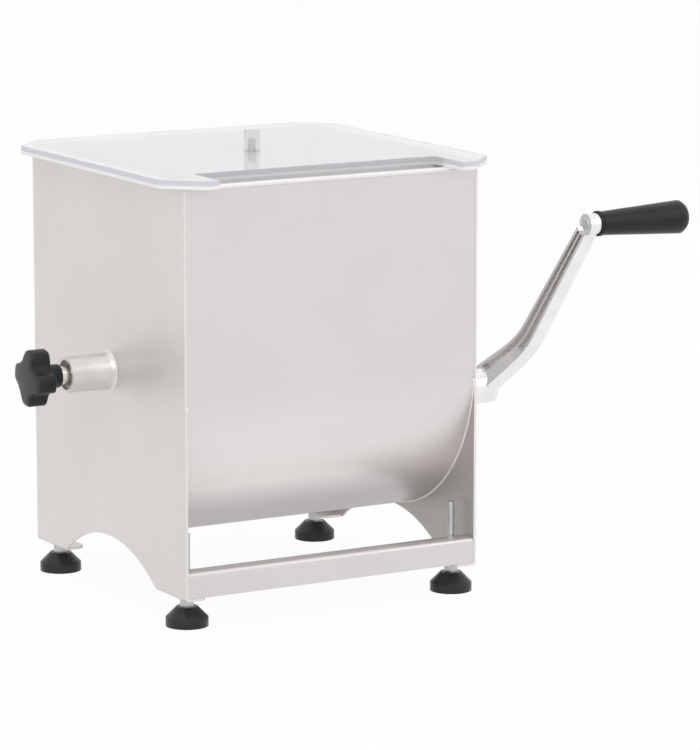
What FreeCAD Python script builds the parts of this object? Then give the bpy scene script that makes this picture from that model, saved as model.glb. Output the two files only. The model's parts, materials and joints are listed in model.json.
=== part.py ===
import FreeCAD, Part
import math
import os

from FreeCAD import Vector

# Hand crank meat mixer: a stainless tub on four levelling feet, a removable
# paddle, a reduction gear on the right end plate and a cranked handle.
# Millimetres. X runs along the paddle axis towards the crank, -Y is the front,
# +Z is up, and the floor under the feet is Z = 0.

# Tub and end plates
tub_length = 250.0
tub_width = 250.0
plate_height = 307.0
plate_thickness = 2.0
shell_thickness = 1.5
axis_above_plate_foot = 154.0
plate_lift = 22.0
leg_width = 48.0
arch_rise = 27.0
tab_depth = 18.0
tab_corner_radius = 6.0
rail_height = 19.5
rail_flange = 14.0
rail_thickness = 1.5

# Levelling feet
foot_from_plate = 10.5
foot_from_edge = 19.0
foot_base_radius = 16.0
foot_base_height = 6.6
foot_neck_radius = 8.1
foot_height = 14.6
stud_radius = 2.5
stud_rise = 47.5
stud_depth_in_foot = 8.0
hex_across_flats = 10.0
weld_nut_height = 5.0

# Pivot pin on the left end plate
boss_radius = 13.7
boss_length = 35.7
weld_ring_radius = 15.3
weld_ring_width = 2.5
bush_wall = 4.2
bush_recess = 9.0
pin_radius = 7.0
pin_reach = 14.0
pin_chamfer = 1.5
pin_shown = 5.5
pin_in_knob = 18.0
washer_radius = 10.6
washer_thickness = 1.5
knob_collar_radius = 8.9
knob_collar_length = 11.2
knob_length = 17.3
knob_core_radius = 18.5
lobe_count = 6
lobe_radius = 7.0
lobe_circle_radius = 16.2
knob_edge = 2.6
knob_edge_rise = 1.6

# Paddle
paddle_shaft_radius = 10.0
paddle_end_gap = 2.0
socket_margin = 2.0
drive_square = 12.0
drive_square_length = 14.0
drive_gap = 8.0
blade_count = 4
blade_inset = 32.0
blade_thickness = 3.0
blade_root_width = 24.0
blade_tip_width = 46.0
blade_tip_gap = 11.0
blade_corner_radius = 10.0
blade_pitch = 35.0
blade_first_angle = 45.0
blade_turn = 90.0

# Reduction gear
gear_module = 1.5
gear_teeth = 39
pinion_teeth = 17
pressure_angle = 20.0
flank_backlash = 0.08
dedendum_in_modules = 1.25
flank_steps = 2
gear_width = 12.0
pinion_width = 14.0
gear_web = 5.0
gear_rim = 5.0
gear_hub_radius = 14.0
gear_from_plate = 9.0
output_radius = 8.0
key_size = 5.0
ring_width = 1.2
ring_depth = 0.8
ring_rise = 2.0
bush_flange = 3.0
bush_flange_rise = 4.0
bush_wall_thick = 4.0
seal_width = 3.0
journal_radius = 5.0
journal_length = 6.0
journal_cup_wall = 4.0

# Gear housing
gasket_thickness = 1.0
housing_wall = 4.0
housing_end_wall = 5.0
gear_air = 2.3
housing_flange = 10.0
housing_flange_thickness = 5.0
housing_edge = 3.0
neck_length = 24.0
neck_wall = 5.5
neck_rib_thickness = 5.0
neck_rib_reach = 8.0
housing_stud_radius = 2.5
housing_stud_end = 1.5
housing_stud_spread = 40.0
housing_nut_flats = 8.0
housing_nut_height = 4.0

# Crank
crank_lean = 33.5
crank_radius = 165.5
crank_shaft_radius = 7.0
crank_bush_wall = 2.5
crank_washer_radius = 12.0
crank_washer_thickness = 1.5
hub_radius = 14.0
hub_length = 30.0
shaft_flat_depth = 1.2
shaft_end_recess = 1.5
grub_screw_radius = 3.0
root_radial = 7.0
bend_radial = 40.0
bend_outward = 27.0
arm_tip_outward = 41.0
arm_thickness = 12.0
arm_bend_radius = 45.0
arm_root_width = 24.0
arm_bend_width = 17.0
arm_tip_width = 11.0
arm_rim = 2.4
arm_channel_depth = 3.0
arm_ridge = 1.8
tip_boss_radius = 8.4
tip_boss_length = 9.5
rivet_radius = 4.8
rivet_height = 0.6

# Grip
spindle_radius = 4.0
spindle_head_radius = 6.5
spindle_head_length = 4.0
grip_length = 80.5
grip_collar_radius = 10.0
grip_collar_width = 2.5
grip_small_radius = 9.2
grip_large_radius = 13.2
grip_end_bevel = 2.6
grip_end_bevel_length = 4.0
grip_counterbore = 9.0

# Lid
lid_length = 280.0
lid_depth = 279.0
lid_thickness = 6.5
lid_corner = 25.5
notch_length = 206.0
notch_depth = 41.0
notch_corner_radius = 3.0
lid_knob_radius = 6.0
lid_knob_height = 16.0
lid_knob_edge = 0.8
lid_screw_radius = 2.0
lid_screw_grip = 9.0
lid_screw_head_radius = 4.0
lid_screw_head_height = 2.4

# Clearances
running_clearance = 0.05
loose_clearance = 0.3
face_gap = 0.2

# Derived places, X from the middle of the tub
plate_foot = plate_lift
plate_top = plate_foot + plate_height
axis_z = plate_foot + axis_above_plate_foot
half_length = tub_length / 2
half_width = tub_width / 2
inside_x = half_length - plate_thickness
inside_radius = half_width - shell_thickness
gear_distance = gear_module * (gear_teeth + pinion_teeth) / 2
crank_z = axis_z - gear_distance
bush_outer = pin_radius + bush_wall
boss_end_x = -half_length - boss_length
bush_end_x = boss_end_x + bush_recess
washer_x = bush_end_x - face_gap - washer_thickness
collar_x = boss_end_x - pin_shown
knob_face_x = collar_x - knob_collar_length
knob_end_x = knob_face_x - knob_length
housing_x = half_length + gasket_thickness
gear_x = half_length + gear_from_plate
gear_end_x = gear_x + gear_width
journal_cup_end_x = gear_x - (pinion_width - gear_width) / 2
pinion_x = journal_cup_end_x + face_gap
output_end_x = gear_end_x + ring_width + ring_rise
cavity_end_x = output_end_x + gear_air + ring_rise
housing_end_x = cavity_end_x + housing_end_wall
neck_end_x = housing_end_x + neck_length
hub_x = neck_end_x + crank_washer_thickness + 2 * face_gap
hub_end_x = hub_x + hub_length
arm_root_x = hub_end_x - arm_thickness / 2
arm_bend_x = arm_root_x + bend_outward
arm_tip_x = arm_root_x + arm_tip_outward
tip_boss_x = arm_tip_x - tip_boss_length / 2
tip_boss_end_x = tip_boss_x + tip_boss_length
grip_x = tip_boss_end_x + loose_clearance
grip_end_x = grip_x + grip_length
paddle_start_x = -inside_x + paddle_end_gap
paddle_bush_radius = output_radius + bush_wall_thick
paddle_bush_x = inside_x - bush_flange
paddle_end_x = paddle_bush_x - drive_gap
blade_spacing = (paddle_end_x - paddle_start_x - 2 * blade_inset) / (blade_count - 1)
gear_tip_radius = gear_module * (gear_teeth + 2) / 2
pinion_tip_radius = gear_module * (pinion_teeth + 2) / 2
tip_z = crank_z + crank_radius
lid_z = plate_top
stud_top_z = plate_foot + stud_rise

# The part's own origin is under the middle of its whole length.
middle_x = (knob_end_x + grip_end_x) / 2

X_AXIS = Vector(1, 0, 0)
Y_AXIS = Vector(0, 1, 0)
Z_AXIS = Vector(0, 0, 1)


def rod_x(radius, x_start, x_end, z=axis_z, y=0.0):
    """Solid cylinder along X."""
    return Part.makeCylinder(radius, x_end - x_start, Vector(x_start, y, z), X_AXIS)


def tube_x(outer, inner, x_start, x_end, z=axis_z, y=0.0):
    """Hollow cylinder along X."""
    return rod_x(outer, x_start, x_end, z, y).cut(rod_x(inner, x_start, x_end, z, y))


def rod_z(radius, z_start, z_end, x=0.0, y=0.0):
    """Solid cylinder along Z."""
    return Part.makeCylinder(radius, z_end - z_start, Vector(x, y, z_start), Z_AXIS)


def block(x_start, x_end, y_start, y_end, z_start, z_end):
    """Box between two corners."""
    corner = Vector(x_start, y_start, z_start)
    return Part.makeBox(x_end - x_start, y_end - y_start, z_end - z_start, corner)


def turned(points, base, axis):
    """Solid of revolution from an outline of vectors."""
    face = Part.Face(Part.makePolygon(points + points[:1]))
    return face.revolve(base, axis, 360)


def turned_x(profile, z=axis_z):
    """Solid of revolution about X from (x, radius) pairs that start and end on the axis."""
    points = [Vector(x, 0, z + radius) for x, radius in profile]
    return turned(points, Vector(0, 0, z), X_AXIS)


def prism(points, direction):
    """Straight-sided solid from an outline and a direction."""
    return Part.Face(Part.makePolygon(points + points[:1])).extrude(direction)


def edges_along(shape, direction, test):
    """Straight edges of a shape that run along a direction and pass a test on their middle."""
    found = []
    for edge in shape.Edges:
        if edge.Curve.TypeId != "Part::GeomLine":
            continue
        if abs(abs(edge.tangentAt(edge.FirstParameter).dot(direction)) - 1) > 1e-6:
            continue
        if test(edge.CenterOfMass):
            found.append(edge)
    return found


def hexagon_z(flats, z_start, z_end, x, y):
    """Hexagonal bar along Z."""
    corner_radius = flats / 2 / math.cos(math.pi / 6)
    points = []
    for step in range(6):
        angle = math.radians(60 * step)
        arm = Vector(math.cos(angle), math.sin(angle), 0) * corner_radius
        points.append(Vector(x, y, z_start) + arm)
    return prism(points, Vector(0, 0, z_end - z_start))


def hull_x(radius_top, radius_low, x_start, x_end):
    """Bar along X whose section wraps a circle on the paddle axis and one on the crank axis."""
    slope = math.asin((radius_top - radius_low) / gear_distance)
    side = Vector(0, math.cos(slope), -math.sin(slope))
    other = Vector(0, -math.cos(slope), -math.sin(slope))
    top = Vector(x_start, 0, axis_z)
    low = Vector(x_start, 0, crank_z)
    upper_arc = Part.Arc(top + side * radius_top, top + Z_AXIS * radius_top, top + other * radius_top)
    lower_arc = Part.Arc(low + other * radius_low, low - Z_AXIS * radius_low, low + side * radius_low)
    left = Part.LineSegment(top + other * radius_top, low + other * radius_low)
    right = Part.LineSegment(low + side * radius_low, top + side * radius_top)
    edges = [upper_arc.toShape(), left.toShape(), lower_arc.toShape(), right.toShape()]
    return Part.Face(Part.Wire(edges)).extrude(Vector(x_end - x_start, 0, 0))


def gear_blank(teeth, x_start, x_end, z, first_angle):
    """Spur gear with involute flanks, one tooth centred on the first angle in the YZ plane."""
    pitch_radius = gear_module * teeth / 2
    base_radius = pitch_radius * math.cos(math.radians(pressure_angle))
    tip_radius = pitch_radius + gear_module
    root_radius = pitch_radius - dedendum_in_modules * gear_module
    start_radius = max(base_radius, root_radius)

    def involute(radius):
        roll = math.acos(min(1.0, base_radius / radius))
        return math.tan(roll) - roll

    half_tooth = math.pi / (2 * teeth) - flank_backlash / pitch_radius + involute(pitch_radius)
    radii = [root_radius]
    for step in range(flank_steps + 1):
        radii.append(start_radius + (tip_radius - start_radius) * step / flank_steps)
    points = []
    for tooth in range(teeth):
        centre = first_angle + 2 * math.pi * tooth / teeth
        rising = [(radius, centre - half_tooth + involute(max(radius, start_radius))) for radius in radii]
        falling = [(radius, 2 * centre - angle) for radius, angle in reversed(rising)]
        for radius, angle in rising + falling:
            points.append(Vector(x_start, radius * math.cos(angle), z + radius * math.sin(angle)))
    return prism(points, Vector(x_end - x_start, 0, 0))


def end_plate(side):
    """Sheet end of the tub with two legs, an arch between them and bent-in foot tabs."""
    outer_x = side * half_length
    inner_x = side * inside_x
    left_leg = half_width - leg_width
    low_left = Vector(outer_x, -half_width, plate_foot)
    low_right = Vector(outer_x, half_width, plate_foot)
    arch_left = Vector(outer_x, -left_leg, plate_foot)
    arch_right = Vector(outer_x, left_leg, plate_foot)
    arch_top = Vector(outer_x, 0, plate_foot + arch_rise)
    top_right = Vector(outer_x, half_width, plate_top)
    top_left = Vector(outer_x, -half_width, plate_top)
    edges = [
        Part.LineSegment(low_left, arch_left).toShape(),
        Part.Arc(arch_left, arch_top, arch_right).toShape(),
        Part.LineSegment(arch_right, low_right).toShape(),
        Part.LineSegment(low_right, top_right).toShape(),
        Part.LineSegment(top_right, top_left).toShape(),
        Part.LineSegment(top_left, low_left).toShape(),
    ]
    plate = Part.Face(Part.Wire(edges)).extrude(Vector(inner_x - outer_x, 0, 0))
    tab_end = outer_x - side * tab_depth
    for front in (-1, 1):
        near = front * (half_width - leg_width)
        far = front * half_width
        tab = block(
            min(inner_x, tab_end), max(inner_x, tab_end),
            min(near, far), max(near, far),
            plate_foot, plate_foot + plate_thickness,
        )
        corners = edges_along(tab, Z_AXIS, lambda middle: abs(middle.x - tab_end) < 0.01)
        plate = plate.fuse(tab.makeFillet(tab_corner_radius, corners))
    plate = plate.removeSplitter()
    bends = edges_along(
        plate, Y_AXIS, lambda middle: abs(middle.x - outer_x) < 0.01 and abs(middle.z - plate_foot) < 0.01
    )
    plate = plate.makeFillet(plate_thickness, bends)
    for x, y in foot_places():
        plate = plate.cut(rod_z(stud_radius + loose_clearance, 0, stud_top_z, x, y))
    return plate


def left_end_plate():
    return end_plate(-1).cut(rod_x(bush_outer, -half_length, -inside_x))


def right_end_plate():
    return end_plate(1).cut(rod_x(paddle_bush_radius, inside_x, half_length))


def tub_section(radius, x_start, x_end):
    """Trough section: half round below the paddle axis, straight walls above it."""
    left = Vector(x_start, -radius, axis_z)
    right = Vector(x_start, radius, axis_z)
    lowest = Vector(x_start, 0, axis_z - radius)
    top_left = Vector(x_start, -radius, plate_top)
    top_right = Vector(x_start, radius, plate_top)
    edges = [
        Part.Arc(left, lowest, right).toShape(),
        Part.LineSegment(right, top_right).toShape(),
        Part.LineSegment(top_right, top_left).toShape(),
        Part.LineSegment(top_left, left).toShape(),
    ]
    return Part.Face(Part.Wire(edges)).extrude(Vector(x_end - x_start, 0, 0))


def tub_shell():
    """Bent sheet trough between the end plates."""
    outer = tub_section(half_width, -inside_x, inside_x)
    return outer.cut(tub_section(inside_radius, -inside_x, inside_x))


def front_rail():
    """Bent angle between the front legs, standing on their tabs."""
    low = plate_foot + plate_thickness
    high = low + rail_height
    face = block(-inside_x, inside_x, -half_width, -half_width + rail_thickness, low, high)
    flange = block(-inside_x, inside_x, -half_width, -half_width + rail_flange, high - rail_thickness, high)
    rail = face.fuse(flange).removeSplitter()
    bend = edges_along(
        rail, X_AXIS, lambda middle: abs(middle.y + half_width) < 0.01 and abs(middle.z - high) < 0.01
    )
    return rail.makeFillet(2 * rail_thickness, bend)


def foot_places():
    """X and Y of the four feet, in the order of foot_names."""
    reach_x = half_length - foot_from_plate
    reach_y = half_width - foot_from_edge
    return [(-reach_x, -reach_y), (reach_x, -reach_y), (-reach_x, reach_y), (reach_x, reach_y)]


foot_names = ("front_left", "front_right", "rear_left", "rear_right")


def foot_pad(x, y):
    """Moulded foot: round base and a cone up to the stud."""
    base = rod_z(foot_base_radius, 0, foot_base_height, x, y)
    cone_height = foot_height - foot_base_height
    foot = Vector(x, y, foot_base_height)
    cone = Part.makeCone(foot_base_radius, foot_neck_radius, cone_height, foot, Z_AXIS)
    return base.fuse(cone).cut(rod_z(stud_radius, foot_height - stud_depth_in_foot, foot_height, x, y))


def foot_stud(x, y):
    """Threaded rod with the hexagon that the foot is turned by."""
    rod = rod_z(stud_radius, foot_height - stud_depth_in_foot, stud_top_z, x, y)
    hexagon = hexagon_z(hex_across_flats, foot_height, plate_foot - face_gap, x, y)
    return rod.fuse(hexagon).removeSplitter()


def foot_weld_nuts():
    """One nut on the upper side of each foot tab."""
    low = plate_foot + plate_thickness
    nuts = []
    for x, y in foot_places():
        nut = hexagon_z(hex_across_flats, low, low + weld_nut_height, x, y)
        nuts.append(nut.cut(rod_z(stud_radius + running_clearance, low, low + weld_nut_height, x, y)))
    return Part.makeCompound(nuts)


def pivot_boss():
    """Tube welded to the left end plate, with its weld ring."""
    ring_end = -half_length - weld_ring_width
    foot = Vector(-half_length, 0, axis_z)
    ring = Part.makeCone(weld_ring_radius, boss_radius, weld_ring_width, foot, -X_AXIS)
    tube = rod_x(boss_radius, boss_end_x, ring_end)
    return tube.fuse(ring).cut(rod_x(bush_outer, boss_end_x, -half_length))


def pivot_bush():
    """Plain bearing for the pivot pin, deep in the boss and through the plate."""
    return tube_x(bush_outer, pin_radius + running_clearance, bush_end_x, -inside_x)


def pivot_washer():
    """Ring on the pin, inside the boss's open end."""
    return tube_x(washer_radius, pin_radius + running_clearance, washer_x, washer_x + washer_thickness)


def pivot_pin():
    """Pin that carries the left end of the paddle, pointed at its inner end."""
    tip_x = -inside_x + pin_reach
    root_x = collar_x - pin_in_knob
    return turned_x([
        (root_x, 0), (root_x, pin_radius), (tip_x - pin_chamfer, pin_radius),
        (tip_x, pin_radius - pin_chamfer), (tip_x, 0),
    ])


def star_knob():
    """Lobed hand knob with a collar, on the outer end of the pivot pin."""
    star = rod_x(knob_core_radius, knob_end_x, knob_face_x)
    for lobe in range(lobe_count):
        angle = 2 * math.pi * lobe / lobe_count
        y = lobe_circle_radius * math.sin(angle)
        z = axis_z + lobe_circle_radius * math.cos(angle)
        star = star.fuse(rod_x(lobe_radius, knob_end_x, knob_face_x, z, y))
    rim = lobe_circle_radius + lobe_radius
    envelope = turned_x([
        (knob_end_x, 0), (knob_end_x, rim - knob_edge), (knob_end_x + knob_edge_rise, rim),
        (knob_face_x, rim), (knob_face_x, 0),
    ])
    star = star.common(envelope).fuse(rod_x(knob_collar_radius, knob_face_x, collar_x))
    return star.removeSplitter().cut(rod_x(pin_radius, collar_x - pin_in_knob, collar_x))


def square_bar(size, x_start, x_end):
    return block(x_start, x_end, -size / 2, size / 2, axis_z - size / 2, axis_z + size / 2)


def paddle_shaft():
    """Shaft with a round socket for the pivot pin and a square socket for the drive."""
    shaft = rod_x(paddle_shaft_radius, paddle_start_x, paddle_end_x)
    socket_end = -inside_x + pin_reach + socket_margin
    shaft = shaft.cut(rod_x(pin_radius + running_clearance, paddle_start_x, socket_end))
    square_start = paddle_end_x - drive_square_length - socket_margin
    return shaft.cut(square_bar(drive_square + 2 * running_clearance, square_start, paddle_end_x))


def paddle_blade(number):
    """Flat mixing blade, wider at its tip, set at a pitch on the shaft."""
    tip_radius = inside_radius - blade_tip_gap
    outline = [
        Vector(-blade_root_width / 2, -blade_thickness / 2, 0),
        Vector(blade_root_width / 2, -blade_thickness / 2, 0),
        Vector(blade_tip_width / 2, -blade_thickness / 2, tip_radius),
        Vector(-blade_tip_width / 2, -blade_thickness / 2, tip_radius),
    ]
    blade = prism(outline, Vector(0, blade_thickness, 0))
    corners = edges_along(blade, Y_AXIS, lambda middle: middle.z > tip_radius - 0.01)
    blade = blade.makeFillet(blade_corner_radius, corners)
    pitch = blade_pitch if number % 2 == 0 else -blade_pitch
    blade.rotate(Vector(0, 0, 0), Z_AXIS, pitch)
    blade.rotate(Vector(0, 0, 0), X_AXIS, blade_first_angle + blade_turn * number)
    blade.translate(Vector(paddle_start_x + blade_inset + blade_spacing * number, 0, axis_z))
    return blade.cut(rod_x(paddle_shaft_radius, paddle_start_x, paddle_end_x))


def output_shaft():
    """Gear shaft with a square end for the paddle, a keyway and a ring groove."""
    shaft = rod_x(output_radius, paddle_end_x, output_end_x)
    shaft = shaft.fuse(square_bar(drive_square, paddle_end_x - drive_square_length, paddle_end_x))
    groove = tube_x(output_radius, output_radius - ring_depth, gear_end_x, gear_end_x + ring_width)
    shaft = shaft.cut(groove)
    return shaft.cut(gear_key()).removeSplitter()


def gear_key():
    low = axis_z + output_radius - key_size / 2
    return block(gear_x, gear_end_x, -key_size / 2, key_size / 2, low, low + key_size)


def drive_gear():
    """Large spur gear with a thin web between its hub and its rim."""
    tooth_step = 2 * math.pi / gear_teeth
    gear = gear_blank(gear_teeth, gear_x, gear_end_x, axis_z, -math.pi / 2 + tooth_step / 2)
    rim_radius = gear_module * (gear_teeth / 2 - dedendum_in_modules) - gear_rim
    side_depth = (gear_width - gear_web) / 2
    for start in (gear_x, gear_end_x - side_depth):
        gear = gear.cut(tube_x(rim_radius, gear_hub_radius, start, start + side_depth))
    gear = gear.cut(rod_x(output_radius, gear_x, gear_end_x))
    return gear.cut(gear_key())


def gear_retaining_ring():
    """Open spring ring in the groove of the output shaft."""
    outer = output_radius + ring_rise
    ring = tube_x(outer, output_radius - ring_depth, gear_end_x, gear_end_x + ring_width)
    half_gap = output_radius / 2
    gap = block(gear_end_x, gear_end_x + ring_width, -half_gap, half_gap, axis_z - outer, axis_z)
    return ring.cut(gap)


def paddle_bush():
    """Flanged bearing of the output shaft in the right end plate."""
    body = rod_x(paddle_bush_radius, inside_x, gear_x - face_gap)
    flange = rod_x(paddle_bush_radius + bush_flange_rise, paddle_bush_x, inside_x)
    bore = rod_x(output_radius + running_clearance, paddle_bush_x, gear_x)
    return body.fuse(flange).removeSplitter().cut(bore)


def paddle_seal():
    """Lip seal against the bush's flange, inside the tub."""
    return tube_x(
        paddle_bush_radius, output_radius + running_clearance, paddle_bush_x - seal_width, paddle_bush_x
    )


def pinion_support():
    """Closed cup on the right end plate that carries the inner end of the crank shaft."""
    cup = rod_x(journal_radius + journal_cup_wall, half_length, journal_cup_end_x, crank_z)
    bore_x = journal_cup_end_x - journal_length
    return cup.cut(rod_x(journal_radius + running_clearance, bore_x, journal_cup_end_x, crank_z))


def crank_shaft():
    """Shaft of the pinion and the crank, with a flat under the grub screw."""
    journal_x = journal_cup_end_x - journal_length + face_gap
    end_x = hub_end_x - shaft_end_recess
    shaft = rod_x(journal_radius, journal_x, pinion_x, crank_z)
    shaft = shaft.fuse(rod_x(crank_shaft_radius, pinion_x, end_x, crank_z))
    flat_z = crank_z - crank_shaft_radius + shaft_flat_depth
    flat = block(hub_x, end_x, -hub_radius, hub_radius, crank_z - hub_radius, flat_z)
    return leaned(shaft.cut(flat).removeSplitter())


def crank_pinion():
    """Small spur gear on the crank shaft, with a tooth in the gear's lowest space."""
    end_x = pinion_x + pinion_width
    pinion = gear_blank(pinion_teeth, pinion_x, end_x, crank_z, math.pi / 2)
    return pinion.cut(rod_x(crank_shaft_radius, pinion_x, end_x, crank_z))


def housing_stud_places():
    """Y and Z of the four studs that hold the gear housing."""
    places = []
    spread = math.radians(housing_stud_spread)
    for centre_z, radius, up in ((axis_z, top_outer_radius(), 1), (crank_z, low_outer_radius(), -1)):
        reach = radius + housing_flange / 2
        for side in (-1, 1):
            places.append((side * reach * math.cos(spread), centre_z + up * reach * math.sin(spread)))
    return places


def top_outer_radius():
    return gear_tip_radius + gear_air + housing_wall


def low_outer_radius():
    return pinion_tip_radius + gear_air + housing_wall


def flange_outline(x_start, x_end):
    """Flange of the gear housing with its stud holes, and the gasket under it."""
    flange = hull_x(top_outer_radius() + housing_flange, low_outer_radius() + housing_flange, x_start, x_end)
    for y, z in housing_stud_places():
        flange = flange.cut(rod_x(housing_stud_radius + loose_clearance, x_start, x_end, z, y))
    return flange


def gear_cavity(x_start, x_end):
    return hull_x(top_outer_radius() - housing_wall, low_outer_radius() - housing_wall, x_start, x_end)


def gearbox_gasket():
    return flange_outline(half_length, housing_x).cut(gear_cavity(half_length, housing_x))


def gearbox_housing():
    """Cast cover over the gears, with a ribbed neck that carries the crank shaft."""
    case = hull_x(top_outer_radius(), low_outer_radius(), housing_x, housing_end_x)
    outer_edges = [edge for edge in case.Edges if abs(edge.BoundBox.XMin - housing_end_x) < 0.01]
    case = case.makeChamfer(housing_edge, outer_edges)
    case = case.fuse(flange_outline(housing_x, housing_x + housing_flange_thickness))
    bush_radius = crank_shaft_radius + crank_bush_wall
    neck_radius = bush_radius + neck_wall
    case = case.fuse(rod_x(neck_radius, cavity_end_x, neck_end_x, crank_z))
    rib_foot = neck_radius + neck_rib_reach
    for turn in (0, 90, 270):
        rib = prism(
            [
                Vector(housing_end_x, -neck_rib_thickness / 2, 0),
                Vector(housing_end_x, -neck_rib_thickness / 2, rib_foot),
                Vector(neck_end_x - crank_washer_thickness, -neck_rib_thickness / 2, neck_radius),
                Vector(neck_end_x - crank_washer_thickness, -neck_rib_thickness / 2, 0),
            ],
            Vector(0, neck_rib_thickness, 0),
        )
        rib.translate(Vector(0, 0, crank_z))
        rib.rotate(Vector(0, 0, crank_z), X_AXIS, turn)
        within = hull_x(top_outer_radius(), low_outer_radius(), housing_end_x, neck_end_x)
        case = case.fuse(rib.common(within))
    case = case.cut(gear_cavity(housing_x, cavity_end_x))
    return case.cut(rod_x(bush_radius, cavity_end_x, neck_end_x, crank_z)).removeSplitter()


def housing_nut_x():
    return housing_x + housing_flange_thickness


def gearbox_studs():
    """Studs welded to the right end plate."""
    end = housing_nut_x() + housing_nut_height + housing_stud_end
    return Part.makeCompound(
        [rod_x(housing_stud_radius, half_length, end, z, y) for y, z in housing_stud_places()]
    )


def gearbox_nuts():
    """Nuts that hold the gear housing on its studs."""
    nuts = []
    start = housing_nut_x()
    for y, z in housing_stud_places():
        nut = hexagon_z(housing_nut_flats, 0, housing_nut_height, 0, 0)
        nut = nut.cut(rod_z(housing_stud_radius, 0, housing_nut_height))
        nut.rotate(Vector(0, 0, 0), Y_AXIS, 90)
        nut.translate(Vector(start, y, z))
        nuts.append(nut)
    return Part.makeCompound(nuts)


def crank_bush():
    """Long plain bearing of the crank shaft in the housing's neck."""
    outer = crank_shaft_radius + crank_bush_wall
    return tube_x(outer, crank_shaft_radius + running_clearance, cavity_end_x, neck_end_x, crank_z)


def crank_washer():
    start = neck_end_x + face_gap
    return tube_x(crank_washer_radius, crank_shaft_radius, start, start + crank_washer_thickness, crank_z)


def leaned(shape):
    """Shape of the upright crank turned to where the crank rests."""
    placed = shape.copy()
    placed.rotate(Vector(0, 0, crank_z), X_AXIS, crank_lean)
    return placed


def arm_side():
    """Bent bar seen from the front: out from the hub, then up to the tip."""
    root = Vector(arm_root_x, 0, crank_z + root_radial)
    bend = Vector(arm_bend_x, 0, crank_z + bend_radial)
    tip = Vector(arm_tip_x, 0, tip_z)
    half = arm_thickness / 2
    lower = (bend - root).normalize()
    upper = (tip - bend).normalize()
    lower_normal = Vector(lower.z, 0, -lower.x)
    upper_normal = Vector(upper.z, 0, -upper.x)
    mitre = lower_normal + upper_normal
    mitre = mitre * (half / mitre.dot(upper_normal))
    outline = [
        root + lower_normal * half, bend + mitre, tip + upper_normal * half,
        tip - upper_normal * half, bend - mitre, root - lower_normal * half,
    ]
    wide = arm_root_width + hub_radius
    bar = prism([point - Y_AXIS * wide for point in outline], Y_AXIS * (2 * wide))
    inner = edges_along(bar, Y_AXIS, lambda middle: middle.distanceToPoint(bend - mitre) < 0.01)
    bar = bar.makeFillet(arm_bend_radius, inner)
    outer = edges_along(bar, Y_AXIS, lambda middle: middle.distanceToPoint(bend + mitre) < 0.01)
    return bar.makeFillet(arm_bend_radius + arm_thickness, outer)


def arm_front(margin, z_start, z_end):
    """Tapered outline of the arm seen along the crank axis, less a margin on each side."""
    def half_at(height):
        if height < bend_radial:
            share = height / bend_radial
            return (arm_root_width + (arm_bend_width - arm_root_width) * share) / 2 - margin
        share = (height - bend_radial) / (crank_radius - bend_radial)
        return (arm_bend_width + (arm_tip_width - arm_bend_width) * share) / 2 - margin

    heights = (z_start, bend_radial, z_end)
    right = [Vector(hub_x, half_at(height), crank_z + height) for height in heights]
    left = [Vector(hub_x, -half_at(height), crank_z + height) for height in reversed(heights)]
    return prism(right + left, Vector(tip_boss_end_x - hub_x, 0, 0))


def crank_arm():
    """Cast arm: hub, bent arm with two grooves on its inner face, and tip boss."""
    bar = arm_side()
    arm = bar.common(arm_front(0, 0, crank_radius))
    layer = bar.copy()
    layer.translate(Vector(arm_channel_depth - arm_thickness, 0, 0))
    channel = layer.common(arm_front(arm_rim, hub_radius, crank_radius - tip_boss_radius))
    ridge = block(hub_x, tip_boss_end_x, -arm_ridge / 2, arm_ridge / 2, crank_z, tip_z)
    plain_side = block(hub_x, tip_boss_end_x, -arm_root_width, 0, crank_z, crank_z + bend_radial)
    arm = arm.cut(channel.cut(ridge).cut(plain_side))
    arm = arm.fuse(rod_x(hub_radius, hub_x, hub_end_x, crank_z))
    arm = arm.cut(rod_x(tip_boss_radius, tip_boss_x - arm_thickness, tip_boss_end_x + arm_thickness, tip_z))
    arm = arm.fuse(rod_x(tip_boss_radius, tip_boss_x, tip_boss_end_x, tip_z))
    arm = arm.cut(rod_x(crank_shaft_radius, hub_x, hub_end_x, crank_z))
    arm = arm.cut(rod_x(spindle_radius, tip_boss_x, tip_boss_end_x, tip_z))
    arm = arm.cut(grub_screw_space())
    return leaned(arm.removeSplitter())


def grub_screw_space():
    """Screw from the underside of the hub to the flat of the crank shaft."""
    length = hub_radius - crank_shaft_radius + shaft_flat_depth
    x = (hub_x + hub_end_x - arm_thickness) / 2
    return rod_z(grub_screw_radius, crank_z - hub_radius, crank_z - hub_radius + length, x)


def crank_grub_screw():
    inside_hub = rod_x(hub_radius, hub_x, hub_end_x, crank_z)
    return leaned(grub_screw_space().common(inside_hub))


def grip_spindle():
    """Headed pin through the grip, riveted in the tip of the arm."""
    head_end = grip_end_x - grip_counterbore + face_gap + spindle_head_length
    head_start = head_end - spindle_head_length
    profile = [
        (tip_boss_x - rivet_height, 0), (tip_boss_x - rivet_height, rivet_radius - rivet_height),
        (tip_boss_x, rivet_radius), (tip_boss_x, spindle_radius), (head_start, spindle_radius),
        (head_start, spindle_head_radius), (head_end, spindle_head_radius), (head_end, 0),
    ]
    return leaned(turned_x(profile, tip_z))


def crank_grip():
    """Tapered hand grip that turns on its spindle."""
    grip = turned_x([
        (grip_x, 0), (grip_x, grip_collar_radius), (grip_x + grip_collar_width, grip_collar_radius),
        (grip_x + grip_collar_width, grip_small_radius),
        (grip_end_x - grip_end_bevel_length, grip_large_radius),
        (grip_end_x, grip_large_radius - grip_end_bevel), (grip_end_x, 0),
    ], tip_z)
    grip = grip.cut(rod_x(spindle_radius + running_clearance, grip_x, grip_end_x, tip_z))
    mouth = rod_x(spindle_head_radius + loose_clearance, grip_end_x - grip_counterbore, grip_end_x, tip_z)
    return leaned(grip.cut(mouth))


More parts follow.
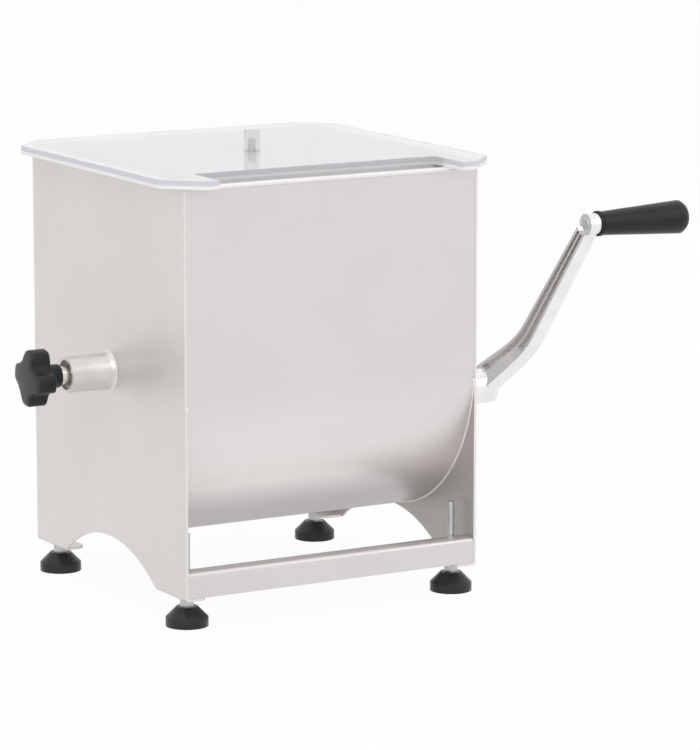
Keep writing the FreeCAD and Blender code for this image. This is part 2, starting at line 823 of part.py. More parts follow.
def lid_sheet():
    """Clear sheet with cut corners and a filling notch in its front edge."""
    half_x = lid_length / 2
    half_y = lid_depth / 2
    outline = [
        (-half_x, -half_y + lid_corner), (-half_x + lid_corner, -half_y), (half_x - lid_corner, -half_y),
        (half_x, -half_y + lid_corner), (half_x, half_y - lid_corner), (half_x - lid_corner, half_y),
        (-half_x + lid_corner, half_y), (-half_x, half_y - lid_corner),
    ]
    sheet = prism([Vector(x, y, lid_z) for x, y in outline], Vector(0, 0, lid_thickness))
    notch_back = -half_y + notch_depth
    notch = block(-notch_length / 2, notch_length / 2, -half_y, notch_back, lid_z, lid_z + lid_thickness)
    corners = edges_along(notch, Z_AXIS, lambda middle: abs(middle.y - notch_back) < 0.01)
    sheet = sheet.cut(notch.makeFillet(notch_corner_radius, corners))
    return sheet.cut(rod_z(lid_screw_radius, lid_z, lid_z + lid_thickness))


def lid_knob():
    """Clear turned knob in the middle of the lid."""
    low = lid_z + lid_thickness
    high = low + lid_knob_height
    profile = [
        (0, low), (lid_knob_radius, low), (lid_knob_radius, high - lid_knob_edge),
        (lid_knob_radius - lid_knob_edge, high), (0, high),
    ]
    knob = turned([Vector(radius, 0, z) for radius, z in profile], Vector(0, 0, low), Z_AXIS)
    return knob.cut(rod_z(lid_screw_radius, low, low + lid_screw_grip))


def lid_knob_screw():
    """Screw from under the lid into its knob."""
    shank = rod_z(lid_screw_radius, lid_z, lid_z + lid_thickness + lid_screw_grip)
    head = rod_z(lid_screw_head_radius, lid_z - lid_screw_head_height, lid_z)
    return shank.fuse(head).removeSplitter()


def save(node, shape):
    """Write one sub-part, moved so that the part's origin is under its middle."""
    placed = shape.copy()
    placed.translate(Vector(-middle_x, 0, 0))
    placed.exportStep("parts/" + node + ".step")


def main():
    os.makedirs("parts", exist_ok=True)
    single_pieces = (
        left_end_plate, right_end_plate, tub_shell, front_rail, foot_weld_nuts,
        pivot_boss, pivot_bush, pivot_washer, pivot_pin, star_knob,
        paddle_shaft, output_shaft, gear_key, drive_gear, gear_retaining_ring, paddle_bush, paddle_seal,
        pinion_support, crank_shaft, crank_pinion, gearbox_gasket, gearbox_housing, gearbox_studs,
        gearbox_nuts, crank_bush, crank_washer, crank_arm, crank_grub_screw, grip_spindle, crank_grip,
        lid_sheet, lid_knob, lid_knob_screw,
    )
    for make in single_pieces:
        save(make.__name__, make())
    for number in range(blade_count):
        save("paddle_blade_%d" % (number + 1), paddle_blade(number))
    for name, (x, y) in zip(foot_names, foot_places()):
        save("foot_pad_" + name, foot_pad(x, y))
        save("foot_stud_" + name, foot_stud(x, y))


main()
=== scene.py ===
import json
import math

import bmesh
import bpy
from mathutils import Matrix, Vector


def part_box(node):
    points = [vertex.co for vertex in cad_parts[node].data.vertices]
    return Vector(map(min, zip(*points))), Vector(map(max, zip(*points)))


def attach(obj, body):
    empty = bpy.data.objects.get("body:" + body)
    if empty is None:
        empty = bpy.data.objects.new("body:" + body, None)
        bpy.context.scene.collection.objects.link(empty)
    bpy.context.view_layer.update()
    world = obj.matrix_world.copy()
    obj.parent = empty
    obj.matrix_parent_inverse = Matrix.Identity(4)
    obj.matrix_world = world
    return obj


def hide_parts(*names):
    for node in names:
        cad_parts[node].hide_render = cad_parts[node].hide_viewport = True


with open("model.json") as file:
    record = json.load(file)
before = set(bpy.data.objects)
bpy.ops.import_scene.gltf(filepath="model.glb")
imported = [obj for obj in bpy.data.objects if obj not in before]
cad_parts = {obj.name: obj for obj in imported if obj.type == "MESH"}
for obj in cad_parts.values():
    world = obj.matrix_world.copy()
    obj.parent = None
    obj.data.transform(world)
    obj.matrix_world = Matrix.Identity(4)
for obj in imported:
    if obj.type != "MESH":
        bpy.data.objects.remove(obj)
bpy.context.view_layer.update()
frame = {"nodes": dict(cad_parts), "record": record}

# Looks of the hand crank meat mixer: satin stainless sheet, polished cast crank,
# black moulded grip, knob and feet, and a clear acrylic lid, on a plain white floor.
# Metres, in the part's own frame.

MM = 0.001

nodes = frame["nodes"]

# Camera at the photograph's viewing angle, in degrees to the right and below level.
# Its lens and its sensor are in millimetres
camera_place = Vector((-1.5865, -2.7693, 0.736))
camera_turn = 30.061
camera_dip = 10.318
camera_lens = 200.0
camera_sensor = 36.0
camera_reach = 60.0

# Soft lamps: place, width and watts
lamps = {
    "key": ((-1.6, -1.8, 2.2), 1.6, 20),
    "fill": ((1.8, -1.6, 1.4), 1.6, 7),
    "top": ((0, 0.3, 2.4), 1.8, 10),
}

# Brightness of the white surroundings, as a light and as what is seen of them
world_light = 0.7
world_white = 1.0

# Floor, with its shares of pure white as the camera and as polished metal see it
floor_reach = 12.0
floor_tone = (0.9, 0.9, 0.9)
floor_white_share = 0.94
floor_gloss_share = 0.7

# Rounded edges
edge_bevel = 0.35 * MM
grip_bevel = 1.4 * MM
bevel_steps = 3
bevel_angle = 40.0
merge_distance = 0.005 * MM

# Moulded star knob. The lobes fade out towards the middle of the face by a power of the radius,
# and a valley power above 1 makes them wider than the valleys between them
knob_lobes = 4
knob_turn = -9.0
knob_middle_radius = 17.8 * MM
knob_lobe_swing = 3.9 * MM
knob_face_fade = 7.0
knob_valley_power = 1.25
knob_depth = 17.3 * MM
knob_collar_radius = 8.9 * MM
knob_collar_root_radius = knob_collar_radius + 1.5 * MM
knob_collar_tip_radius = 0.94 * knob_collar_radius
knob_points = 160

# Section of the knob's head: share of its depth from the face, and share of its full radius
knob_head_section = (
    (0.0, 0.12), (0.01, 0.45), (0.03, 0.7), (0.06, 0.86), (0.1, 0.94),
    (0.15, 0.985), (0.22, 1.0), (0.93, 1.0), (0.98, 0.985), (1.0, 0.95),
)

# Section of the knob's collar: share of its length from the head, and radius
knob_collar_section = (
    (0.0, knob_collar_root_radius), (0.1, knob_collar_radius),
    (0.93, knob_collar_radius), (1.0, knob_collar_tip_radius),
)

# Near-white strip under the lid, along the back of its notch. It is partly painted light: it stands in
# for the bright inside seen through the notch
notch_depth = 41.0 * MM
strip_length = 236.0 * MM
strip_height = 5.0 * MM
strip_thickness = 3.5 * MM
strip_set_back = 0.2 * MM

# Folded edges of the front and rear walls, a little below the lid
fold_radius = 1.1 * MM
fold_cover = 0.2 * MM
fold_steps = 8
lip_width = 12.0 * MM
lip_thickness = 1.2 * MM
lid_seat = 0.15 * MM

# Screw threads, laid thinly over the plain rods of the feet
foot_corners = ("front_left", "front_right", "rear_left", "rear_right")
foot_stud_radius = 2.5 * MM
thread_pitch = 0.8 * MM
thread_depth = 0.35 * MM
thread_cover = 0.04 * MM
thread_points = 24
thread_rings_per_pitch = 6

# Weld beads, which swell by a share of their radius at each ripple of the weld pool
weld_ripple = 2.2 * MM
weld_swell = 0.12
weld_points = 8
boss_bead_radius = 1.0 * MM
boss_bead_sink = 0.3 * MM
boss_bead_steps = 160
seam_bead_radius = 0.9 * MM
seam_bead_steps = 180
seam_open_steps = 4

# Tones of the materials, as the dark and the bright end of soft clouds
plate_tones = ((0.735, 0.706, 0.689), (0.76, 0.73, 0.713))
shell_tones = ((0.925, 0.88, 0.875), (0.945, 0.90, 0.895))
stock_tones = ((0.66, 0.645, 0.635), (0.74, 0.72, 0.71))
# Turned steel: polished and bright, and set lighter still as painted light against the shade in the
# boss's recess
turned_tones_with_painted_light = ((0.74, 0.70, 0.65), (0.84, 0.80, 0.75))
zinc_tones = ((0.50, 0.50, 0.51), (0.62, 0.62, 0.63))
weld_tones = ((0.78, 0.75, 0.71), (0.9, 0.875, 0.84))
crank_tones = ((0.86, 0.855, 0.85), (0.92, 0.915, 0.91))
housing_tones = ((0.60, 0.60, 0.60), (0.74, 0.735, 0.73))
bronze_tones = ((0.42, 0.27, 0.12), (0.52, 0.35, 0.17))
grip_tones = ((0.010, 0.0095, 0.0115), (0.016, 0.015, 0.018))
knob_tones = ((0.010, 0.0095, 0.012), (0.016, 0.015, 0.018))
foot_tones = ((0.022, 0.0215, 0.024), (0.030, 0.029, 0.032))
seal_tones = ((0.02, 0.02, 0.02), (0.03, 0.03, 0.03))
lid_tones = ((0.975, 0.975, 0.98), (0.99, 0.99, 0.99))
clear_tones = ((0.965, 0.965, 0.97), (0.99, 0.99, 0.99))

# Tones of single zones
# Painted light: the inside of the tub is painted near white, standing in for the light that fills it
tub_inside_painted_light_tone = (0.94, 0.935, 0.93)
plate_edge_tone = (0.80, 0.775, 0.76)
# Painted shade on the plates' inner faces below the tub
plate_inner_painted_shade_tone = (0.50, 0.47, 0.45)
# Painted shade on the crank's inner face, for the darker things it reflects
crank_inner_painted_shade_tone = (0.72, 0.715, 0.715)
# Painted light on the knob's face, lighter than its sides
knob_face_painted_light_tone = (0.036, 0.035, 0.037)
# Painted shade in a band on the lid's edges
lid_edge_painted_shade_tone = (0.74, 0.71, 0.77)

# Painted light and shade on the trough by how far its surface turns downwards: a painted highlight where
# it turns under, painted shade beneath
trough_painted_light_and_shade = ((0.0, 0.78), (0.3, 0.875), (0.6, 1.0), (0.78, 0.68), (1.0, 0.65))

# Painted shade on the crank by how open its surface is, from deep in a groove to the outside
groove_painted_shades = ((0.25, 0.78), (0.9, 1.0))
groove_reach = 5.0 * MM
groove_samples = 16

# Band of painted shade on the lid's edges: where it starts and is full, as shares of the sheet's
# thickness
band_start = 0.35
band_full = 0.45

# How metallic bare metal and a cleaned weld are
bare_metal = 0.95
weld_metal_share = 0.7

# Refraction of acrylic, and how fine the grain of bare metal is
acrylic_ior = 1.49
metal_grain = 900.0

# How deep inside the sheet a zone of tone ends
zone_margin = 0.75 * MM

# Sockets of a mix node that carry colours
mix_first = 6
mix_second = 7
mix_result = 2


def centre_of(node):
    """Middle of a node's box."""
    low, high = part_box(node)
    return (low + high) / 2


def angles_around(count):
    """Angles of points spread evenly around a circle."""
    return [2 * math.pi * step / count for step in range(count)]


# Shader nodes


def new_material(name):
    """Material with its tree, its principled shader and a coordinate node."""
    material = bpy.data.materials.new(name)
    material.use_nodes = True
    tree = material.node_tree
    shader = tree.nodes["Principled BSDF"]
    place = tree.nodes.new("ShaderNodeTexCoord")
    return material, tree, shader, place


def noise(tree, place, scale, fineness=(1, 1, 1), detail=4.0, roughness=0.55):
    """Noise in object space, finer or coarser along each axis."""
    mapping = tree.nodes.new("ShaderNodeMapping")
    mapping.inputs["Scale"].default_value = fineness
    tree.links.new(place.outputs["Object"], mapping.inputs["Vector"])
    texture = tree.nodes.new("ShaderNodeTexNoise")
    texture.inputs["Scale"].default_value = scale
    texture.inputs["Detail"].default_value = detail
    texture.inputs["Roughness"].default_value = roughness
    tree.links.new(mapping.outputs["Vector"], texture.inputs["Vector"])
    return texture.outputs["Fac"]


def remap(tree, value, result, start=0.3, end=0.7):
    """Value mapped onto a range of results, by default from where a noise mostly lies."""
    node = tree.nodes.new("ShaderNodeMapRange")
    node.inputs["From Min"].default_value = start
    node.inputs["From Max"].default_value = end
    node.inputs["To Min"].default_value, node.inputs["To Max"].default_value = result
    tree.links.new(value, node.inputs["Value"])
    return node.outputs["Result"]


def two_tone(tree, value, tones, start=0.35, end=0.65):
    """Colour that runs from one tone to another with a noise."""
    ramp = tree.nodes.new("ShaderNodeValToRGB")
    for stop, position, tone in zip(ramp.color_ramp.elements, (start, end), tones):
        stop.position = position
        stop.color = (*tone, 1)
    tree.links.new(value, ramp.inputs["Fac"])
    return ramp.outputs["Color"]


def grey_steps(tree, value, steps):
    """Grey that passes through given shades at given values."""
    node = tree.nodes.new("ShaderNodeValToRGB")
    ramp = node.color_ramp
    for number, (position, shade) in enumerate(steps):
        stop = ramp.elements[number] if number < 2 else ramp.elements.new(position)
        stop.position = position
        stop.color = (shade, shade, shade, 1)
    tree.links.new(value, node.inputs["Fac"])
    return node.outputs["Color"]


def bump(tree, shader, height, strength, distance):
    """Unevenness of a surface."""
    node = tree.nodes.new("ShaderNodeBump")
    node.inputs["Strength"].default_value = strength
    node.inputs["Distance"].default_value = distance
    tree.links.new(height, node.inputs["Height"])
    tree.links.new(node.outputs["Normal"], shader.inputs["Normal"])


def maths(tree, operation, first, second=None):
    """Result of an operation on values or numbers."""
    node = tree.nodes.new("ShaderNodeMath")
    node.operation = operation
    for value, socket in ((first, node.inputs[0]), (second, node.inputs[1])):
        if isinstance(value, (int, float)):
            socket.default_value = value
        elif value is not None:
            tree.links.new(value, socket)
    return node.outputs[0]


def parts_of(tree, vector):
    """X, Y and Z of a vector."""
    split = tree.nodes.new("ShaderNodeSeparateXYZ")
    tree.links.new(vector, split.inputs["Vector"])
    return split.outputs


def facing(tree, place, axis, start, end):
    """0 to 1 as a surface turns towards an axis of the part, on either side."""
    size = maths(tree, "ABSOLUTE", parts_of(tree, place.outputs["Normal"])[axis])
    return remap(tree, size, (0.0, 1.0), start, end)


def blend(tree, share, first, second):
    """Mix of two colours by a share."""
    node = tree.nodes.new("ShaderNodeMix")
    node.data_type = "RGBA"
    tree.links.new(share, node.inputs["Factor"])
    for value, socket in ((first, node.inputs[mix_first]), (second, node.inputs[mix_second])):
        if isinstance(value, tuple):
            socket.default_value = (*value, 1)
        else:
            tree.links.new(value, socket)
    return node.outputs[mix_result]


def times(tree, first, second):
    """Product of two colours."""
    node = tree.nodes.new("ShaderNodeMix")
    node.data_type = "RGBA"
    node.blend_type = "MULTIPLY"
    node.inputs["Factor"].default_value = 1.0
    tree.links.new(first, node.inputs[mix_first])
    tree.links.new(second, node.inputs[mix_second])
    return node.outputs[mix_result]


def between_plates(tree, place):
    """1 on what lies between the outer faces of the end plates."""
    low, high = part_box("tub_shell")
    x = maths(tree, "SUBTRACT", parts_of(tree, place.outputs["Object"])["X"], (low.x + high.x) / 2)
    reach = (high.x - low.x) / 2 + zone_margin
    return maths(tree, "LESS_THAN", maths(tree, "ABSOLUTE", x), reach)


def within_trough(tree, place):
    """1 inside the trough's section, from its round bottom up."""
    low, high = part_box("tub_shell")
    radius = (high.y - low.y) / 2
    axes = parts_of(tree, place.outputs["Object"])
    below = maths(tree, "MINIMUM", maths(tree, "SUBTRACT", axes["Z"], low.z + radius), 0.0)
    square = maths(tree, "ADD", maths(tree, "POWER", axes["Y"], 2.0), maths(tree, "POWER", below, 2.0))
    return maths(tree, "LESS_THAN", square, (radius - zone_margin) ** 2)


# Materials


def clouds(tree, shader, place, scale, tones, roughness, detail=4.0):
    """Soft clouds that vary a surface's tone and gloss, returned for other uses."""
    cloud = noise(tree, place, scale, detail=detail)
    tree.links.new(two_tone(tree, cloud, tones), shader.inputs["Base Color"])
    tree.links.new(remap(tree, cloud, roughness), shader.inputs["Roughness"])
    return cloud


def fine_grain(tree, shader, place, scale, strength, distance):
    """Fine grain of a cast or moulded surface."""
    bump(tree, shader, noise(tree, place, scale, detail=2.0), strength, distance)


def satin_grain_and_painted_inside(tree, shader, place, tone, inside, fineness):
    """Fine brushed grain over a tone, with painted light on the inside of the tub: whiter and less
    metallic there.
    """
    lines = noise(tree, place, scale=60.0, fineness=fineness, detail=6.0, roughness=0.7)
    # Painted light on the inside of the tub: less metallic and near white there
    metallic = remap(tree, inside, result=(0.82, 0.45), start=0.0, end=1.0)
    tree.links.new(blend(tree, inside, tone, tub_inside_painted_light_tone), shader.inputs["Base Color"])
    tree.links.new(remap(tree, lines, result=(0.40, 0.50)), shader.inputs["Roughness"])
    tree.links.new(metallic, shader.inputs["Metallic"])
    shader.inputs["Anisotropic"].default_value = 0.3
    bump(tree, shader, lines, strength=0.05, distance=0.2 * MM)


def plate_sheet():
    """End plates: satin outside, lighter edges, painted shade on the inner faces and painted light on the
    inside of the tub.
    """
    material, tree, shader, place = new_material("plate_steel")
    cloud = noise(tree, place, scale=14.0, detail=3.0)
    edge = facing(tree, place, "Y", start=0.8, end=0.95)
    flat = facing(tree, place, "X", start=0.8, end=0.95)
    # Painted shade on the plates' inner faces
    inner = maths(tree, "MULTIPLY", between_plates(tree, place), flat)
    # The inside of the tub, which gets painted light
    inside = maths(tree, "MULTIPLY", inner, within_trough(tree, place))
    tone = blend(tree, edge, two_tone(tree, cloud, plate_tones), plate_edge_tone)
    tone = blend(tree, inner, tone, plate_inner_painted_shade_tone)
    satin_grain_and_painted_inside(tree, shader, place, tone, inside, fineness=(1, 1, 14))
    return material


def shell_sheet():
    """Trough and rail: a painted highlight where the sheet turns under, painted shade below it, and
    painted light on the inside of the tub.
    """
    material, tree, shader, place = new_material("shell_steel")
    cloud = noise(tree, place, scale=14.0, detail=3.0)
    down = maths(tree, "MULTIPLY", parts_of(tree, place.outputs["Normal"])["Z"], -1.0)
    # Painted highlight where the sheet turns under and painted shade beneath it
    tone = times(tree, two_tone(tree, cloud, shell_tones), grey_steps(tree, down, trough_painted_light_and_shade))
    satin_grain_and_painted_inside(tree, shader, place, tone, within_trough(tree, place), fineness=(0.15, 6, 6))
    return material


def machined_metal(name, tones, roughness, cloud_scale):
    """Machined steel or bronze for studs, nuts, gears and bushes."""
    material, tree, shader, place = new_material(name)
    cloud = clouds(tree, shader, place, cloud_scale, tones, roughness)
    shader.inputs["Metallic"].default_value = bare_metal
    bump(tree, shader, cloud, strength=0.05, distance=0.1 * MM)
    return material


def grained_metal(name, tones, roughness, grain_strength):
    """Bare metal with a grain, from bright stock to a casting left as cast."""
    material, tree, shader, place = new_material(name)
    clouds(tree, shader, place, scale=90.0, tones=tones, roughness=roughness)
    shader.inputs["Metallic"].default_value = bare_metal
    fine_grain(tree, shader, place, metal_grain, grain_strength, distance=0.15 * MM)
    return material


def crank_casting():
    """Polished sides of the crank, with painted shade on its inner face and in its grooves."""
    material, tree, shader, place = new_material("crank_casting")
    cloud = noise(tree, place, scale=60.0, detail=2.0)
    # Painted shade on the faces turned along X, the inner face among them
    inner = facing(tree, place, "X", start=0.55, end=0.8)
    tone = blend(tree, inner, two_tone(tree, cloud, crank_tones), crank_inner_painted_shade_tone)
    # Painted shade, darker deep in the grooves
    painted_shade_occlusion = tree.nodes.new("ShaderNodeAmbientOcclusion")
    painted_shade_occlusion.only_local = True
    painted_shade_occlusion.samples = groove_samples
    painted_shade_occlusion.inputs["Distance"].default_value = groove_reach
    shade = grey_steps(tree, painted_shade_occlusion.outputs["AO"], groove_painted_shades)
    tree.links.new(times(tree, tone, shade), shader.inputs["Base Color"])
    tree.links.new(remap(tree, cloud, result=(0.2, 0.3)), shader.inputs["Roughness"])
    shader.inputs["Metallic"].default_value = bare_metal
    fine_grain(tree, shader, place, metal_grain, strength=0.01, distance=0.1 * MM)
    return material


def weld_metal():
    """Bright ripples of a cleaned weld."""
    material, tree, shader, place = new_material("weld_metal")
    clouds(tree, shader, place, scale=300.0, tones=weld_tones, roughness=(0.3, 0.45))
    shader.inputs["Metallic"].default_value = weld_metal_share
    return material


def moulded_black(name, tones, roughness, grain_scale):
    """Black moulding with a fine grain and slight scuffs."""
    material, tree, shader, place = new_material(name)
    clouds(tree, shader, place, scale=70.0, tones=tones, roughness=roughness)
    shader.inputs["Specular IOR Level"].default_value = 0.3
    fine_grain(tree, shader, place, grain_scale, strength=0.08, distance=0.1 * MM)
    return material


def knob_moulding():
    """Black moulding of the star knob, with painted light on its face, which is lighter than its sides.
    """
    material, tree, shader, place = new_material("knob_moulding")
    cloud = noise(tree, place, scale=70.0)
    # Painted light on the faces turned along X
    face = facing(tree, place, "X", start=0.35, end=0.9)
    tone = blend(tree, face, two_tone(tree, cloud, knob_tones), knob_face_painted_light_tone)
    tree.links.new(tone, shader.inputs["Base Color"])
    tree.links.new(remap(tree, cloud, result=(0.36, 0.46)), shader.inputs["Roughness"])
    shader.inputs["Specular IOR Level"].default_value = 0.35
    fine_grain(tree, shader, place, scale=1500.0, strength=0.08, distance=0.1 * MM)
    return material


def clear_acrylic():
    """Clear sheet with faint wiping marks, and matt sawn edges with a band of painted shade."""
    material, tree, shader, place = new_material("clear_acrylic")
    low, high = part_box("lid_sheet")
    thickness = high.z - low.z
    smear = noise(tree, place, scale=22.0, fineness=(1, 3, 1))
    height = parts_of(tree, place.outputs["Object"])["Z"]
    upper = remap(tree, height, (0.0, 1.0), low.z + thickness * band_start, low.z + thickness * band_full)
    level = facing(tree, place, "Z", start=0.3, end=0.6)
    # Painted shade on the upper part of the edges
    band = maths(tree, "MULTIPLY", upper, maths(tree, "SUBTRACT", 1.0, level))
    tone = blend(tree, band, two_tone(tree, smear, lid_tones), lid_edge_painted_shade_tone)
    sawn = remap(tree, level, result=(0.25, 0.0), start=0.0, end=1.0)
    roughness = maths(tree, "ADD", remap(tree, smear, result=(0.03, 0.06)), sawn)
    clearness = remap(tree, level, result=(0.12, 0.55), start=0.0, end=1.0)
    tree.links.new(tone, shader.inputs["Base Color"])
    tree.links.new(roughness, shader.inputs["Roughness"])
    tree.links.new(clearness, shader.inputs["Transmission Weight"])
    shader.inputs["IOR"].default_value = acrylic_ior
    return material


def clear_moulding(name, clearness, roughness):
    """Clear plastic with a faint cloudiness."""
    material, tree, shader, place = new_material(name)
    clouds(tree, shader, place, scale=120.0, tones=clear_tones, roughness=roughness, detail=2.0)
    shader.inputs["Transmission Weight"].default_value = clearness
    shader.inputs["IOR"].default_value = acrylic_ior
    return material


def dress_nodes():
    """Give each carried-over piece its material, and return those of the added pieces."""
    plate = plate_sheet()
    shell = shell_sheet()
    stock = grained_metal("plain_stainless", stock_tones, roughness=(0.3, 0.42), grain_strength=0.05)
    # Turned steel, partly painted light: lighter to lift the shade in the boss's recess
    turned = grained_metal("turned_steel_with_painted_light", turned_tones_with_painted_light, roughness=(0.18, 0.28), grain_strength=0.03)
    housing = grained_metal("plain_casting", housing_tones, roughness=(0.45, 0.6), grain_strength=0.35)
    zinc = machined_metal("machined_steel", zinc_tones, roughness=(0.25, 0.4), cloud_scale=220.0)
    bronze = machined_metal("bearing_bronze", bronze_tones, roughness=(0.3, 0.45), cloud_scale=160.0)
    grip = moulded_black("black_moulding", grip_tones, roughness=(0.32, 0.42), grain_scale=1500.0)
    foot = moulded_black("foot_moulding", foot_tones, roughness=(0.25, 0.35), grain_scale=1200.0)
    seal = moulded_black("seal_rubber_black", seal_tones, roughness=(0.5, 0.65), grain_scale=1800.0)
    by_slot = {
        "stainless": stock,
        "cast_aluminium": crank_casting(),
        "machined_steel": zinc,
        "bearing_bronze": bronze,
        "black_plastic": grip,
        "foot_rubber": foot,
        "seal_rubber": seal,
        "clear_acrylic": clear_acrylic(),
    }
    by_node = {
        "left_end_plate": plate,
        "right_end_plate": plate,
        "tub_shell": shell,
        "front_rail": shell,
        "gearbox_housing": housing,
        "pivot_pin": turned,
        "pivot_washer": turned,
        "lid_knob_screw": turned,
        "lid_knob": clear_moulding("clear_knob", clearness=0.65, roughness=(0.08, 0.14)),
    }
    for entry in frame["record"]["subparts"]:
        node = entry["node"]
        mesh = nodes[node].data
        mesh.materials.clear()
        mesh.materials.append(by_node.get(node, by_slot[entry["material_slot"]]))
    return {
        "thread": zinc,
        "lip": shell,
        "knob": knob_moulding(),
        "weld": weld_metal(),
        # Near-white strip, partly painted light for the bright inside seen through the notch
        "strip": clear_moulding("strip_acrylic_painted_light", clearness=0.1, roughness=(0.3, 0.4)),
    }


def soften_edges():
    """Small rounded edges, larger on the grip. The crank arm and the lid keep their cut edges."""
    for node, piece in nodes.items():
        if node in ("crank_arm", "lid_sheet"):
            continue
        weld = piece.modifiers.new("weld", "WELD")
        weld.merge_threshold = merge_distance
        bevel = piece.modifiers.new("soft_edges", "BEVEL")
        bevel.width = grip_bevel if node == "crank_grip" else edge_bevel
        bevel.segments = bevel_steps
        bevel.limit_method = "ANGLE"
        bevel.angle_limit = math.radians(bevel_angle)


# Added pieces


def mesh_piece(name, body, material, builder, smooth=True):
    """New mesh object from a bmesh builder, riding on a body."""
    mesh = bpy.data.meshes.new(name)
    shape = bmesh.new()
    builder(shape)
    bmesh.ops.recalc_face_normals(shape, faces=shape.faces)
    shape.to_mesh(mesh)
    shape.free()
    for face in mesh.polygons:
        face.use_smooth = smooth
    piece = bpy.data.objects.new(name, mesh)
    bpy.context.scene.collection.objects.link(piece)
    mesh.materials.append(material)
    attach(piece, body)
    return piece


def grid_tube(shape, rings, closed=False):
    """Skin a list of rings of points, with its ends closed unless it joins up."""
    loops = [[shape.verts.new(point) for point in ring] for ring in rings]
    count = len(loops[0])
    pairs = list(zip(loops, loops[1:]))
    if closed:
        pairs.append((loops[-1], loops[0]))
    for first, second in pairs:
        for step in range(count):
            after = (step + 1) % count
            shape.faces.new((first[step], first[after], second[after], second[step]))
    if not closed:
        shape.faces.new(loops[0])
        shape.faces.new(loops[-1])


def bar_piece(name, body, material, section, ends):
    """Straight bar along X, with a section of Y and Z between two ends."""

    def build(shape):
        grid_tube(shape, [[(x, y, z) for y, z in section] for x in ends])

    mesh_piece(name, body, material, build, smooth=False)


def weld_bead(name, material, path, radius, closed):
    """Weld bead on the tub, along a path that lies across X, with the ripples of the weld pool."""
    count = len(path)

    def build(shape):
        rings = []
        travelled = 0.0
        for number, point in enumerate(path):
            before = path[number - 1] if number or closed else point
            after = path[(number + 1) % count] if number + 1 < count or closed else point
            travelled += (point - before).length
            along = (after - before).normalized()
            side = along.cross(Vector((1, 0, 0)))
            up = along.cross(side)
            swell = radius * (1 + weld_swell * math.sin(2 * math.pi * travelled / weld_ripple))
            ring = []
            for angle in angles_around(weld_points):
                ring.append(point + side * (swell * math.cos(angle)) + up * (swell * math.sin(angle)))
            rings.append(ring)
        grid_tube(shape, rings, closed)

    mesh_piece(name, "tub", material, build)


def boss_weld(material):
    """Weld ring where the pivot boss meets the left end plate."""
    low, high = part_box("pivot_boss")
    middle = centre_of("pivot_boss")
    radius = (high.z - low.z) / 2 - boss_bead_sink
    path = []
    for angle in angles_around(boss_bead_steps):
        y = middle.y + radius * math.cos(angle)
        z = middle.z + radius * math.sin(angle)
        path.append(Vector((high.x, y, z)))
    weld_bead("boss_weld_bead", material, path, boss_bead_radius, closed=True)


def shell_welds(material):
    """Seams under the tub where the shell meets the end plates."""
    low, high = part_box("tub_shell")
    radius = (high.y - low.y) / 2
    axis_z = low.z + radius
    for name, x in (("left_shell_weld", low.x), ("right_shell_weld", high.x)):
        path = []
        for step in range(seam_open_steps, seam_bead_steps - seam_open_steps + 1):
            angle = math.pi * step / seam_bead_steps
            path.append(Vector((x, -radius * math.cos(angle), axis_z - radius * math.sin(angle))))
        weld_bead(name, material, path, seam_bead_radius, closed=False)


def top_lips(material):
    """Edges of the front and rear walls folded inwards under the lid."""
    low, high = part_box("tub_shell")
    top = high.z - lid_seat
    for name, wall_y, inward in (("front_lip", low.y, 1), ("rear_lip", high.y, -1)):
        fold_y = wall_y + inward * fold_cover
        root_y = wall_y + inward * lip_thickness
        edge_y = wall_y + inward * lip_width
        section = []
        for step in range(fold_steps + 1):
            angle = math.pi * step / fold_steps
            y = fold_y - inward * fold_radius * math.sin(angle)
            z = top - fold_radius * (1 - math.cos(angle))
            section.append((y, z))
        section.append((root_y, top - 2 * fold_radius))
        section.append((root_y, top - lip_thickness))
        section.append((edge_y, top - lip_thickness))
        section.append((edge_y, top))
        bar_piece(name, "tub", material, section, (low.x, high.x))


def star_knob(material):
    """Lobed knob with a softly domed face and a collar, in place of the plain one."""
    low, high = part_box("star_knob")
    axis_z = (low.z + high.z) / 2
    collar_x = low.x + knob_depth

    def ring(x, radius, swing):
        points = []
        for angle in angles_around(knob_points):
            wave = math.sin(math.pi / 2 * math.cos(knob_lobes * angle))
            valley = ((1 - wave) / 2) ** knob_valley_power
            reach = radius + swing * (1 - 2 * valley)
            turned = angle + math.radians(knob_turn)
            points.append((x, -reach * math.cos(turned), axis_z + reach * math.sin(turned)))
        return points

    def build(shape):
        rings = []
        for share, size in knob_head_section:
            swing = knob_lobe_swing * size ** knob_face_fade
            rings.append(ring(low.x + share * knob_depth, size * knob_middle_radius, swing))
        for share, radius in knob_collar_section:
            rings.append(ring(collar_x + share * (high.x - collar_x), radius, swing=0.0))
        grid_tube(shape, rings)

    knob = mesh_piece("star_knob_moulding", "pivot_knob", material, build)
    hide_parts("star_knob")


def lid_strip(material):
    """Strip glued under the lid along the back of its notch. Partly painted light: its near-white front
    stands in for the bright inside seen through the notch.
    """
    low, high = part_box("lid_sheet")
    middle_x = (low.x + high.x) / 2
    front_y = low.y + notch_depth + strip_set_back
    back_y = front_y + strip_thickness
    bottom_z = low.z - strip_height
    section = ((front_y, bottom_z), (back_y, bottom_z), (back_y, low.z), (front_y, low.z))
    ends = (middle_x - strip_length / 2, middle_x + strip_length / 2)
    bar_piece("lid_strip", "lid", material, section, ends)


